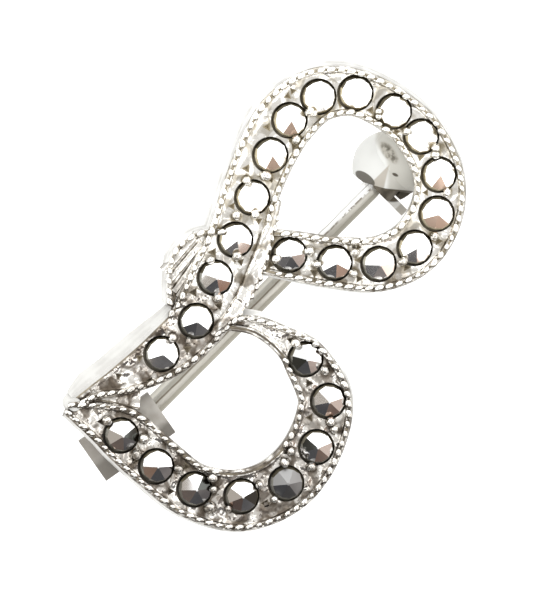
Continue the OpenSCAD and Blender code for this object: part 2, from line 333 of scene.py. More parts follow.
def smooth_line(rows):
    """Rows worked out between the given ones, on a curve through them."""
    rows = np.array(rows)
    ends = np.vstack([rows[:1], rows, rows[-1:]])
    line = []
    for a, b, c, d in zip(ends, ends[1:], ends[2:], ends[3:]):
        for t in np.arange(RINGS_PER_ROW) / RINGS_PER_ROW:
            line.append(0.5 * (2 * b + (c - a) * t + (2 * a - 5 * b + 4 * c - d) * t ** 2
                               + (3 * b - a - 3 * c + d) * t ** 3))
    return np.array([*line, rows[-1]])


def left_of(line):
    """The direction to the left of a line at each of its points."""
    ahead = np.gradient(line[:, :2], axis=0)
    ahead /= np.linalg.norm(ahead, axis=1)[:, None]
    return np.stack([-ahead[:, 1], ahead[:, 0]], axis=1)


def stroke_ring(row, side, left_wall, right_wall, across, top, spread):
    """The points of a stroke's outline at one row: up its left wall, over the floor and down its right
    wall. Top is the most that the left wall rises, and spread how far its foot goes out."""
    x, y, left_reach, right_reach = row
    middle = np.array([x, y])
    ring = []
    for step, high in left_wall:
        foot = step + spread if high == 0 else step
        ring.append((*(middle + side * max(LEAST_REACH, left_reach + foot)), min(high, top)))
    inner_left = max(LEAST_REACH, left_reach + left_wall[-1][0])
    inner_right = max(LEAST_REACH, right_reach + right_wall[-1][0])
    for share in np.arange(1, across + 1) / (across + 1):
        reach = inner_left + (-inner_right - inner_left) * share
        ring.append((*(middle + side * reach), left_wall[-1][1]))
    for step, high in reversed(right_wall):
        ring.append((*(middle - side * max(LEAST_REACH, right_reach + step)), high))
    return ring


def stroke_mesh(name, rows, left_wall, right_wall, across=0, rim_finish=(), bare=0):
    """A closed sweep along the rows. A wall is a list of steps out from the rim's crest and heights, from
    the back upwards, and across is how many points lie on the floor between the two walls. Over the bare
    share of its length the left rim is worn down to the floor."""
    line = smooth_line(rows)
    bare_rings = bare * len(line)
    rings = []
    for number, (row, side) in enumerate(zip(line, left_of(line))):
        top = LETTER_T
        spread = 0
        if number < bare_rings:
            top = left_wall[-1][1] + WORN_EDGE
            fading = BARE_FADES - BARE_FADES * number / bare_rings
            spread = BARE_SPREAD * min(1, number / BARE_GROWS, fading)
        rings.append(stroke_ring(row, side, left_wall, right_wall, across, top, spread))
    count = len(rings[0])
    faces = [tuple(range(count))]
    for i in range(len(rings) - 1):
        for k in range(count):
            a, b = i * count + k, i * count + (k + 1) % count
            faces.append((a, a + count, b + count, b))
    faces.append(tuple(reversed(range((len(rings) - 1) * count, len(rings) * count))))
    mesh = bpy.data.meshes.new(name)
    mesh.from_pydata([tuple(p) for ring in rings for p in ring], [], faces)
    for i in range((len(rings) - 1) * count):
        step = min(i % count, count - 2 - i % count)
        if 0 <= step < len(rim_finish):
            worn_and_bevel_shade = i < bare_rings * count and i % count < WORN_STEPS
            mesh.polygons[i + 1].material_index = WORN if worn_and_bevel_shade else rim_finish[step]
    return mesh


def solid(name, mesh):
    """An object of that mesh, with its faces pointing outwards and the casting's finishes."""
    for finish in casting_finishes:
        mesh.materials.append(finish)
    work = bmesh.new()
    work.from_mesh(mesh)
    bmesh.ops.triangulate(work, faces=[f for f in work.faces if len(f.verts) > 4])
    bmesh.ops.recalc_face_normals(work, faces=work.faces)
    work.to_mesh(mesh)
    work.free()
    return add_object(name, mesh)


def make_real(body):
    """Puts the body's evaluated mesh in place of its modifiers."""
    bpy.context.view_layer.update()
    made = bpy.data.meshes.new_from_object(body.evaluated_get(bpy.context.evaluated_depsgraph_get()))
    body.modifiers.clear()
    body.data = made


def cut_or_join(body, other, operation):
    """One union or difference of the body with another, which is then removed."""
    modifier = body.modifiers.new("boolean", "BOOLEAN")
    modifier.operation = operation
    modifier.solver = "MANIFOLD"
    modifier.object = other
    make_real(body)
    bpy.data.objects.remove(other)


def mesh_from(name, work):
    """A mesh of what was made, which is then put away."""
    mesh = bpy.data.meshes.new(name)
    work.to_mesh(mesh)
    work.free()
    return mesh


def lay(points):
    """Points of the letter's own frame, in millimetres, as points of the lying brooch, in metres."""
    axes = np.array([letter_right, letter_up, out])
    return np.asarray(points, float) * MM @ axes + np.array(letter_origin)


def move_corners(mesh, moved):
    """Puts a mesh's corners where a function says."""
    corners = np.empty(len(mesh.vertices) * 3)
    mesh.vertices.foreach_get("co", corners)
    mesh.vertices.foreach_set("co", moved(corners.reshape(-1, 3)).ravel())


def drill(places, radius, low, high, sides, finish, foot=None):
    """One mesh of upright cylinders. Where a foot is given, it is the radius of their lower ends."""
    work = bmesh.new()
    for x, y in places:
        bmesh.ops.create_cone(work, cap_ends=True, segments=sides, radius1=foot or radius, radius2=radius,
                              depth=high - low, matrix=Matrix.Translation((x, y, (low + high) / 2)))
    for face in work.faces:
        face.material_index = finish
    return mesh_from("drill", work)


# The walls, each from the letter's back up to the crest and in to the floor. Inner walls are undercut.
RIM_WALL = [
    (0.22, LETTER_T - 0.3), (0.19, LETTER_T - 0.2), (0.13, LETTER_T - 0.15), (0.06, LETTER_T - 0.15),
    (0.03, LETTER_T - 0.2), (-0.03, LETTER_T - 0.2), (-0.06, LETTER_T - 0.15), (-0.13, LETTER_T - 0.16),
    (-0.19, FLOOR_Z + 0.04), (-0.27, FLOOR_Z)]
OUTER_WALL = [(0.40, 0), *RIM_WALL]
INNER_WALL = [(0.08, 0), *RIM_WALL]
BAND_WALL = [
    (0.1, 0), (0.06, LETTER_T - 0.24), (0.0, LETTER_T - 0.1), (-0.1, LETTER_T - 0.03), (-0.22, LETTER_T)]
CURL_OUTER = [
    (0.3, 0), (0.18, 0.95), (0.1, 1.1), (0.03, 1.14),
    (-0.05, 1.14), (-0.12, 1.1), (-0.2, 1.04), (-0.27, 1.0)]
CURL_INNER = [(0.1, 0), (0.05, 0.8), (0, 1.0)]
RIDGE_WALL = [(0.1, 0.2), (0.09, 1.02), (0.03, 1.13), (0, 1.15)]
WEB_WALL = [
    (0.08, 0), (0.05, LETTER_T - 0.35), (0.02, LETTER_T - 0.28),
    (-0.04, LETTER_T - 0.26), (-0.1, LETTER_T - 0.32)]
FLOOR_POINTS = 8
CURL_POINTS = 4
WEB_POINTS = 2

# The ridges on the curl and the web that joins the foot's two strokes lie by pixels from the stem's stones.
CURL_RIDGES = [
    ((-20, -44), (-52, -6)), ((-16, -34), (-48, 4)), ((-22, -14), (-42, 14)), ((-24, -2), (-38, 19))]
RIDGE_REACH = 0.12
WEB_PX = [(-76, 45, 0.05), (-50, 44, 0.3), (-22, 45, 0.62)]
stem_line = [*FOOT_ROWS, *stem_rows, *LOOP_END_ROWS]
bowl_line = [*BOWL_START_ROWS, *bowl_rows, *BOWL_END_ROWS]

down_slope = flattened(-picture_up, out)
right_slope = flattened(picture_right, out)
LOWER_EDGE = (-6 * MM, 1.5 * MM)


def picture_place(nodes, spot):
    """Where a point of the brooch lies in the photograph, in pixels to the right and down."""
    right = nodes.dotted(spot, picture_right) / MM * PIXELS_PER_MM
    down = nodes.dotted(spot, -picture_up) / MM * PIXELS_PER_MM
    return (right + (PIN_LINE_PX[0] - pin_middle.dot(picture_right) / MM * PIXELS_PER_MM),
            down + (PIN_LINE_PX[1] + pin_middle.dot(picture_up) / MM * PIXELS_PER_MM))


def oval(x, y, place, reach, turned):
    """0 at the middle of an oval and 1 on its edge, squared. It is turned clockwise, in degrees."""
    ahead = (math.cos(math.radians(turned)), math.sin(math.radians(turned)))
    along = ((x - place[0]) * ahead[0] + (y - place[1]) * ahead[1]) / reach[0]
    aside = ((y - place[1]) * ahead[0] - (x - place[0]) * ahead[1]) / reach[1]
    return along ** 2 + aside ** 2


def within(x, y, place, reach, turned, fade):
    """1 inside an oval and 0 outside it, with a soft edge between two values of the oval."""
    return 1 - oval(x, y, place, reach, turned).over(*fade)


def low_share(nodes, spot):
    """1 toward the picture's lower side, where the colours are darker and browner, and 0 in the upper loop.
    """
    return nodes.dotted(spot, low_side).over(*LOWER_EDGE)


def new_finish(name):
    """A new material, its nodes, and each point's place on the brooch."""
    material, nodes = new_material(name)
    return material, nodes, nodes.add("ShaderNodeTexCoord", out="Object")


# Ovals of the photograph, in pixels, each with its middle, its two reaches, its turn and its soft edge: the
# tarnished foot and the walls painted bright where the lower bowl starts, a painted light. The lightened
# ones, each with its share, are the lower bowl's right side, its start at the waist, and the curl; in them
# the silver's mottling and its tarnish and painted shade are partly taken away.
SOFT_EDGE = (0.5, 1.4)
FOOT_OVAL = ((168, 350), (78, 40), -45, SOFT_EDGE)
BOWL_START_OVAL = ((300, 322), (75, 26), 33, (0.6, 1.4))
LIGHTENED = [
    (((322, 395), (40, 75), 0, SOFT_EDGE), 0.22),
    (((277, 327), (50, 17), 22, SOFT_EDGE), 0.62),
    (((187, 262), (24, 40), 35, SOFT_EDGE), 0.5)]


def silver_metal(name, bright, dark_lower, lump, seams=0.0, shadow=0.0):
    """Cast silver, bright in the lightened ovals and brown-grey in its hollows, with tarnish and painted
    shade there. Lump is the height of its small bumps, seams the share of dark lines between broad lumps,
    and shadow the share of painted shade on slopes that face down the picture."""
    material, nodes, spot = new_finish(name)
    lower = low_share(nodes, spot)
    cloud = nodes.noise(spot, 1.7, 2.0)
    wear = nodes.noise(spot, 0.9, 2.0)
    swirl = nodes.noise(spot, 1.2, 1.0, "Color")
    bent = nodes.vector("MULTIPLY_ADD", swirl, (MM, MM, MM), spot)
    lumps = nodes.add("ShaderNodeTexVoronoi", {"feature": "SMOOTH_F1"}, {
        "Vector": bent, "Scale": 1.35 / MM, "Smoothness": 0.35, "Randomness": 1.0}, "Distance")
    seam = lumps.over(0.47, 0.62) * wear.over(0.36, 0.5) * seams * (0.7 + 0.35 * lower)
    slope = nodes.dotted(nodes.add("ShaderNodeNewGeometry", out="Normal"), down_slope)
    # Painted shade on the slopes that face down the picture, stronger toward the lower side.
    shaded = slope.over(0.2, 0.36) * (1 - slope.over(0.6, 0.74)) * shadow * (0.55 + 0.45 * lower)
    patch = (wear.over(0.42, 0.6) + cloud.over(0.5, 0.64) * 0.7) * seams * (0.4 + 0.3 * lower)
    # Tarnish and painted shade: darker where the openness is low, with the dark seams and the painted shade
    # of the slopes.
    tarnish_and_painted_shade = (1 - nodes.openness(0.3).over(0.5, 0.98)) * (0.25 + 1.5 * cloud.over(0.3, 0.7)) + seam + shaded
    x, y = picture_place(nodes, spot)
    foot = within(x, y, *FOOT_OVAL)
    patch = patch + foot * cloud.over(0.35, 0.6) * 0.45
    for place, share in LIGHTENED:
        lightened = within(x, y, *place) * share
        patch = patch * (1 - lightened)
        tarnish_and_painted_shade = tarnish_and_painted_shade * (1 - lightened)
    tarnish_and_painted_shade = tarnish_and_painted_shade + foot * cloud.over(0.5, 0.66) * 0.35
    dark = nodes.blend(lower, (0.22, 0.185, 0.12, 1), dark_lower)
    middle = nodes.blend(lower, (0.52, 0.49, 0.43, 1), (0.32, 0.28, 0.24, 1))
    colour = nodes.blend(tarnish_and_painted_shade, nodes.blend(patch, bright, middle), dark)
    bumps = wear * (0.12 + 0.2 * lower) * lump + cloud * (0.08 + 0.09 * lower) * lump
    dents = nodes.add("ShaderNodeBump", {}, {
        "Strength": 1.0, "Distance": MM, "Height": bumps - lumps * 0.16 * seams})
    nodes.surface("ShaderNodeBsdfPrincipled", {
        "Base Color": colour, "Metallic": 1.0, "Roughness": 0.13 + tarnish_and_painted_shade * 0.3, "Normal": dents})
    return material


def tarnish_metal(name, upper_colour, lower_colour, spread):
    """Old tarnish in the hollows, in clouds, browner and lighter in the upper loop."""
    material, nodes, spot = new_finish(name)
    colour = nodes.blend(low_share(nodes, spot), upper_colour, lower_colour)
    colour = nodes.blend(nodes.noise(spot, 1.2, 2.0).over(0.35, 0.7) * spread, colour, (0.5, 0.44, 0.33, 1))
    nodes.surface("ShaderNodeBsdfPrincipled", {"Base Color": colour, "Metallic": 0.5, "Roughness": 0.4})
    return material


def wall_metal(name, pale, dull):
    """The smooth pale sides, with a few faint lines that run round them, one above the other. Toward the
    picture's lower side they are duller with painted shade, and where the lower bowl starts they are painted
    near white, a painted light.
    """
    material, nodes, spot = new_finish(name)
    lines = nodes.add("ShaderNodeTexNoise", {"noise_dimensions": "1D"},
                      {"W": nodes.dotted(spot, out), "Scale": 4.0 / MM, "Detail": 1.0})
    cloud = nodes.noise(spot, 0.8, 3.0)
    share = (lines.over(0.35, 0.65) * 0.4 + cloud.over(0.3, 0.7) * 0.6) * cloud.over(0.25, 0.65)
    # The lower side's share makes the walls duller, a painted shade.
    colour = nodes.blend(low_share(nodes, spot) * 0.25 + share, pale, dull)
    # Painted light: near white on the walls where the lower bowl starts.
    bowl_start = within(*picture_place(nodes, spot), *BOWL_START_OVAL)
    colour = nodes.blend(bowl_start, colour, (0.9, 0.9, 0.885, 1))
    nodes.surface("ShaderNodeBsdfPrincipled", {"Base Color": colour, "Metallic": 0.1, "Roughness": 0.6})
    return material


FLOOR_BRIGHT = (0.86, 0.84, 0.8, 1)
FLOOR_DARK = (0.11, 0.09, 0.07, 1)
casting_finishes = [
    silver_metal("cast_silver", FLOOR_BRIGHT, FLOOR_DARK, lump=1.0, seams=0.8),
    tarnish_metal("seat_tarnish", (0.14, 0.122, 0.082, 1), (0.028, 0.024, 0.018, 1), 0.35),
    wall_metal("pale_side", (0.6, 0.6, 0.59, 1), (0.4, 0.395, 0.38, 1)),
    tarnish_metal("notch_tarnish", (0.42, 0.37, 0.27, 1), (0.12, 0.1, 0.075, 1), 0.5),
    wall_metal("worn_side", (0.52, 0.52, 0.505, 1), (0.42, 0.415, 0.4, 1))]
SILVER, SEAT, SIDE, NOTCH, WORN = range(5)
RIM_FINISH = [SIDE, SILVER, SILVER, SILVER, NOTCH, NOTCH, NOTCH, SILVER, SILVER, SILVER]
WEB_FINISH = [SILVER, NOTCH, SILVER, NOTCH]

# Where the graver cut into the floor beside the stones: the stone, how many pixels of the photograph the
# cut lies to the right of and below its middle, its reach in pixels, and the direction of its point,
# clockwise from the right.
CUTS = [
    (1, -44, 22, 4.5, 70), (1, -12, 27, 4, 30), (1, 25, -4, 5, 60), (1, -23, 4, 4.5, -60),
    (3, 4, 29, 5, 45), (3, -22, 15, 5.5, -90), (4, -23, 13, 5.5, -90), (4, 5, 23, 4.5, 45),
    (5, 6, 24, 4.5, 60), (5, -21, 9, 4.5, -90), (5, 18, -17, 3.5, 45), (5, -7, -29, 5, -90),
    (7, -23, 7, 5, -90), (7, 5, 27, 6, 80), (7, -3, -24, 4.5, 10), (7, 2, -29, 4, -40), (8, 22, 7, 5.5, 70),
    (9, 15, 18, 5, 150), (10, 2, 21, 4.5, 90), (11, -1, 21, 5, 70), (13, -12, -21, 4, -90),
    (14, 23, -6, 5, 90), (14, -9, 20, 5, 90), (16, 24, -2, 5, -90), (16, 24, 17, 4.5, 90),
    (16, 23, -15, 3.5, -30), (16, -21, 10, 5.5, -60), (17, -20, 10, 5, 100), (18, -16, -19, 4.5, -70),
    (18, 3, 25, 5, 90), (19, -19, 17, 5, -90), (21, 0, -31, 4.5, 10), (21, -21, 20, 4.5, 90),
    (22, 24, 8, 5, 30), (22, -30, 14, 4.5, 60), (23, -25, 2, 4.5, 90), (23, -9, -23, 4.5, -20),
    (24, -22, -6, 4.5, 90), (25, -21, -14, 4.5, -90), (25, 13, 25, 4.5, 90)]
CUT_DEEP = 0.22
CUT_OVER = 0.2
CUT_POINT_R = 0.01

# One pixel of the photograph to the right, and one down, as steps across the letter.
picture_x = (inward @ np.array(picture_right))[:2] / PIXELS_PER_MM
picture_y = -(inward @ np.array(picture_up))[:2] / PIXELS_PER_MM


def beside(stone, right, down):
    """A place on the letter, some pixels of the photograph to the right of and below a stone's middle."""
    return seats[stone - 1][:2] + picture_x * right + picture_y * down


def cut_mesh():
    """Three-sided pits, each with its point down."""
    work = bmesh.new()
    for stone, right, down, reach, turned in CUTS:
        x, y = beside(stone, right, down)
        wide = reach / PIXELS_PER_MM
        pointing = picture_x * math.cos(math.radians(turned)) + picture_y * math.sin(math.radians(turned))
        depth = CUT_DEEP + CUT_OVER
        place = Matrix.Translation((x, y, FLOOR_Z - CUT_DEEP + depth / 2)) @ Matrix.Rotation(
            math.atan2(pointing[1], pointing[0]), 4, "Z")
        bmesh.ops.create_cone(work, cap_ends=True, segments=3, radius1=CUT_POINT_R,
                              radius2=wide * depth / CUT_DEEP, depth=depth, matrix=place)
    for face in work.faces:
        face.material_index = NOTCH
    return mesh_from("cuts", work)


# The strokes are joined first, then the band, the curl with its ridges, the web and the foot's tip. The
# cuts and the seats are taken away last.
SMOOTH_ANGLE = math.radians(38)
TIP_TOP = LETTER_T - 0.2
TIP_SIDES = 24
SEAT_TOP = 3
SEAT_SIDES = 64

letter = solid("letter_body", stroke_mesh(
    "stem", stem_line, OUTER_WALL, INNER_WALL, FLOOR_POINTS, RIM_FINISH, BARE_SHARE))
bowl = solid("bowl", stroke_mesh("bowl", bowl_line, OUTER_WALL, INNER_WALL, FLOOR_POINTS, RIM_FINISH))
cut_or_join(letter, bowl, "UNION")
band = solid("band", stroke_mesh("band", BAND_ROWS, BAND_WALL, BAND_WALL))
cut_or_join(letter, band, "UNION")
curl = solid("curl", stroke_mesh("curl", CURL_ROWS, CURL_INNER, CURL_OUTER, CURL_POINTS, [SIDE, SIDE]))
for first, last in CURL_RIDGES:
    ends = [(*beside(3, *place), RIDGE_REACH, RIDGE_REACH) for place in (first, last)]
    ridge = solid("ridge", stroke_mesh("ridge", ends, RIDGE_WALL, RIDGE_WALL))
    cut_or_join(curl, ridge, "UNION")
web_line = [(*beside(1, right, down), reach, reach) for right, down, reach in WEB_PX]
web = solid("web", stroke_mesh("web", web_line, WEB_WALL, WEB_WALL, WEB_POINTS, WEB_FINISH))
cut_or_join(letter, web, "UNION")
cut_or_join(letter, curl, "UNION")
tip = solid("tip", drill([TIP], TIP_R, 0, TIP_TOP, TIP_SIDES, WORN, TIP_FOOT_R))
cut_or_join(letter, tip, "UNION")
cut_or_join(letter, solid("cuts", cut_mesh()), "DIFFERENCE")
seat_places = [beside(n + 1, *SEAT_SHIFT_PX) for n in range(STONE_COUNT)]
seat_holes = solid("seats", drill(seat_places, SEAT_R, SEAT_Z, SEAT_TOP, SEAT_SIDES, SEAT))
cut_or_join(letter, seat_holes, "DIFFERENCE")
move_corners(letter.data, lay)
letter.data.shade_smooth()
letter.data.set_sharp_from_angle(angle=SMOOTH_ANGLE)
letter.data.update()
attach(letter, "root")
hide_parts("letter")

# The beaded edge. A milling wheel rolled along each rim leaves a row of small round beads, close together,
# on both edges of every stroke. They are part of the casting's silver.
BEAD_PITCH = 0.55
BEAD_ALONG = 0.27
BEAD_WIDE = 0.17
BEAD_HIGH = 0.19
BEAD_SLANT = 0.32
BEAD_LEAST = 0.74
BEAD_MOST = 1.14
BEAD_Z = LETTER_T - 0.19
BEAD_SEED = 4
BEAD_BRIGHT = (0.84, 0.825, 0.785, 1)
BEAD_DARK = (0.06, 0.045, 0.033, 1)
# The beads get strong painted shade on their slopes that face down the picture.
bead_silver = silver_metal("bead_silver", BEAD_BRIGHT, BEAD_DARK, lump=0.15, shadow=0.95)


def bead_tree(material):
    """Beads along a line: pitch, three radii and a seed."""
    tree = bpy.data.node_groups.new("beaded_edge", "GeometryNodeTree")
    tree.interface.new_socket("Geometry", in_out="INPUT", socket_type="NodeSocketGeometry")
    for name in ("Pitch", "Along", "Wide", "High"):
        socket = tree.interface.new_socket(name, in_out="INPUT", socket_type="NodeSocketFloat")
        socket.default_value = 1.0
    tree.interface.new_socket("Seed", in_out="INPUT", socket_type="NodeSocketInt")
    tree.interface.new_socket("Geometry", in_out="OUTPUT", socket_type="NodeSocketGeometry")
    nodes = Nodes(tree)
    given = ("Geometry", "Pitch", "Along", "Wide", "High", "Seed")
    line, pitch, along, wide, high, seed = [nodes.add("NodeGroupInput", out=name) for name in given]
    curve = nodes.add("GeometryNodeMeshToCurve", {}, {"Mesh": line})
    spaced = nodes.add("GeometryNodeResampleCurve", {"mode": "LENGTH"}, {"Curve": curve, "Length": pitch})
    ball = nodes.add("GeometryNodeMeshIcoSphere", {}, {"Radius": 1.0, "Subdivisions": 3})
    size = nodes.add("ShaderNodeCombineXYZ", {}, {"X": along, "Y": wide, "Z": high})
    shaped = nodes.add("GeometryNodeTransform", {}, {"Geometry": ball, "Scale": size})
    slanted = nodes.add("GeometryNodeTransform", {}, {"Geometry": shaped, "Rotation": (0, 0, BEAD_SLANT)})
    ahead = nodes.add("GeometryNodeInputTangent")
    turned = nodes.add("FunctionNodeAlignRotationToVector", {"axis": "X"}, {"Vector": ahead})
    upright = nodes.add("FunctionNodeAlignRotationToVector", {"axis": "Z", "pivot_axis": "X"},
                        {"Rotation": turned, "Vector": (0, 0, 1)})
    vary = nodes.add("FunctionNodeRandomValue", {}, {2: BEAD_LEAST, 3: BEAD_MOST, "Seed": seed}, 1)
    row = nodes.add("GeometryNodeInstanceOnPoints", {}, {
        "Points": spaced, "Instance": slanted, "Rotation": upright, "Scale": vary})
    real = nodes.add("GeometryNodeRealizeInstances", {}, {"Geometry": row})
    finish = nodes.add("GeometryNodeSetMaterial", {}, {"Geometry": real, "Material": material})
    nodes.add("NodeGroupOutput", {}, {"Geometry": finish})
    return tree


def set_inputs(modifier, values):
    """Sets a tree's inputs by their sockets' identifiers."""
    for item in modifier.node_group.interface.items_tree:
        if item.in_out == "INPUT" and item.name in values:
            modifier[item.identifier] = values[item.name]


def rim_crest(rows, side, first, last):
    """The crest of one rim of a stroke, between two shares of its length."""
    line = smooth_line(rows)
    reach = line[:, 2] if side == "left" else -line[:, 3]
    crest = line[:, :2] + left_of(line) * reach[:, None]
    return crest[int(first * len(crest)):int(last * len(crest))]


# A crest has its stroke, its side and the two shares of its length between which it is beaded.
crests = [
    rim_crest(stem_line, "left", BARE_SHARE, 0.965), rim_crest(stem_line, "right", 0.02, 0.965),
    rim_crest(bowl_line, "left", 0.02, 0.99), rim_crest(bowl_line, "right", 0.2, 0.42),
    rim_crest(bowl_line, "right", 0.59, 0.99), rim_crest(BAND_ROWS, "left", 0.1, 0.95),
    rim_crest(CURL_ROWS, "right", 0.05, 0.97)]
points, edges = [], []
for crest in crests:
    edges += [(len(points) + i, len(points) + i + 1) for i in range(len(crest) - 1)]
    points += [(x, y, BEAD_Z) for x, y in crest]
bead_lines = bpy.data.meshes.new("beaded_edge")
bead_lines.from_pydata(points, edges, [])
beads = add_object("beaded_edge", bead_lines)
rolled = beads.modifiers.new("beads", "NODES")
rolled.node_group = bead_tree(bead_silver)
set_inputs(rolled, {
    "Pitch": BEAD_PITCH, "Along": BEAD_ALONG, "Wide": BEAD_WIDE, "High": BEAD_HIGH, "Seed": BEAD_SEED})
make_real(beads)
move_corners(beads.data, lay)
beads.data.shade_smooth()
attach(beads, "root")

# The grains that hold the stones: beads of silver pushed up out of the floor against each stone, and a few
# more in the gaps. Each has the stone, its place to the right of and below it, and its radius, in pixels of
# the photograph.
GRAINS = [
    (1, 10, -16, 4.8), (2, -9, 20, 3.8), (3, 2, 20, 5.2), (3, -6, -18, 4.4), (4, 1, 17, 4.8),
    (5, -17, 18, 4.6), (5, 2, 17, 4.6), (5, -7, -17, 4.8), (5, 11, -22, 4.6), (6, -4, 21, 4.4),
    (7, 6, 20, 4.6), (7, 19, -8, 4.6), (8, -6, 17, 4.0), (10, -17, 0, 3.4), (10, -17, 5, 3.2),
    (11, -16, -5, 4.2), (11, 14, 12, 4.8), (12, -5, -20, 4.2), (13, 9, -21, 4.2), (14, 19, -11, 4.8),
    (14, -13, 14, 5.2), (16, 19, -10, 5.0), (16, 18, 11, 4.4), (16, -19, 1, 4.2), (17, 19, -3, 5.6),
    (17, -15, 4, 4.8), (18, 19, 12, 5.2), (18, -11, -16, 4.8), (19, 2, 21, 4.8), (20, 17, -18, 4.8),
    (20, -6, 20, 5.0), (20, -27, 4, 4.2), (21, -3, -21, 4.8), (21, -13, 16, 3.6), (22, 17, -11, 3.8),
    (22, -14, 13, 3.8), (23, 17, -11, 4.8), (23, 18, 0, 4.2), (23, 15, 19, 6.0), (23, -17, -21, 5.2),
    (24, -21, -11, 4.6), (25, 22, 4, 5.2), (25, -15, -15, 5.2), (25, 15, 19, 4.6)]
GRAIN_LONG = (0.88, 1.15)
GRAIN_TALL = 1.25
GRAIN_LEAN = 0.3
GRAIN_SUNK = 0.9
GRAIN_TOP = LETTER_T + 0.02
GRAIN_SEED = 11

work = bmesh.new()
chance = np.random.default_rng(GRAIN_SEED)
for stone, right, down, radius in GRAINS:
    x, y = beside(stone, right, down)
    wide = radius / PIXELS_PER_MM
    shape = Matrix.Diagonal((wide * chance.uniform(*GRAIN_LONG), wide, wide * GRAIN_TALL, 1))
    turned = Matrix.Rotation(chance.uniform(0, math.pi), 4, "Z")
    leaning = Matrix.Rotation(chance.uniform(-GRAIN_LEAN, GRAIN_LEAN), 4, "X")
    place = Matrix.Translation((x, y, GRAIN_TOP - wide * GRAIN_SUNK))
    bmesh.ops.create_icosphere(work, subdivisions=3, radius=1, matrix=place @ (turned @ leaning) @ shape)
grains = add_object("grains", mesh_from("grains", work))
move_corners(grains.data, lay)
grains.data.shade_smooth()
# The grains get some painted shade on their slopes that face down the picture.
grains.data.materials.append(
    silver_metal("grain_silver", BEAD_BRIGHT, FLOOR_DARK, lump=0.7, seams=0.35, shadow=0.4))
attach(grains, "root")

# The stones: cut pyrite, grey and as bright as mirrors, each with a tiny table, six main facets and a
# bevel. They sit in the drilled seats. One in the lower bowl has gone dull, and one is chipped.
GREY_STONES = (1, 2, 17)
PINK_STONES = (6, 7, 12, 13)
LEFT_BROWN_STONES = (24,)
DARK_LEFT_STONES = (18,)
DARK_RIGHT_STONES = (22, 23, 25)
DULL_STONE = 21
CHIPPED_STONE = 20
CHIP_PX = (-11, 6)
CHIP_REACH = 0.42
CHIP_EDGE = 0.08
TONE_PER_TURN = 6
TONE_PER_MM = 0.35
UPPER_LOOP_EDGE = (-3.6 * MM, -1.6 * MM)


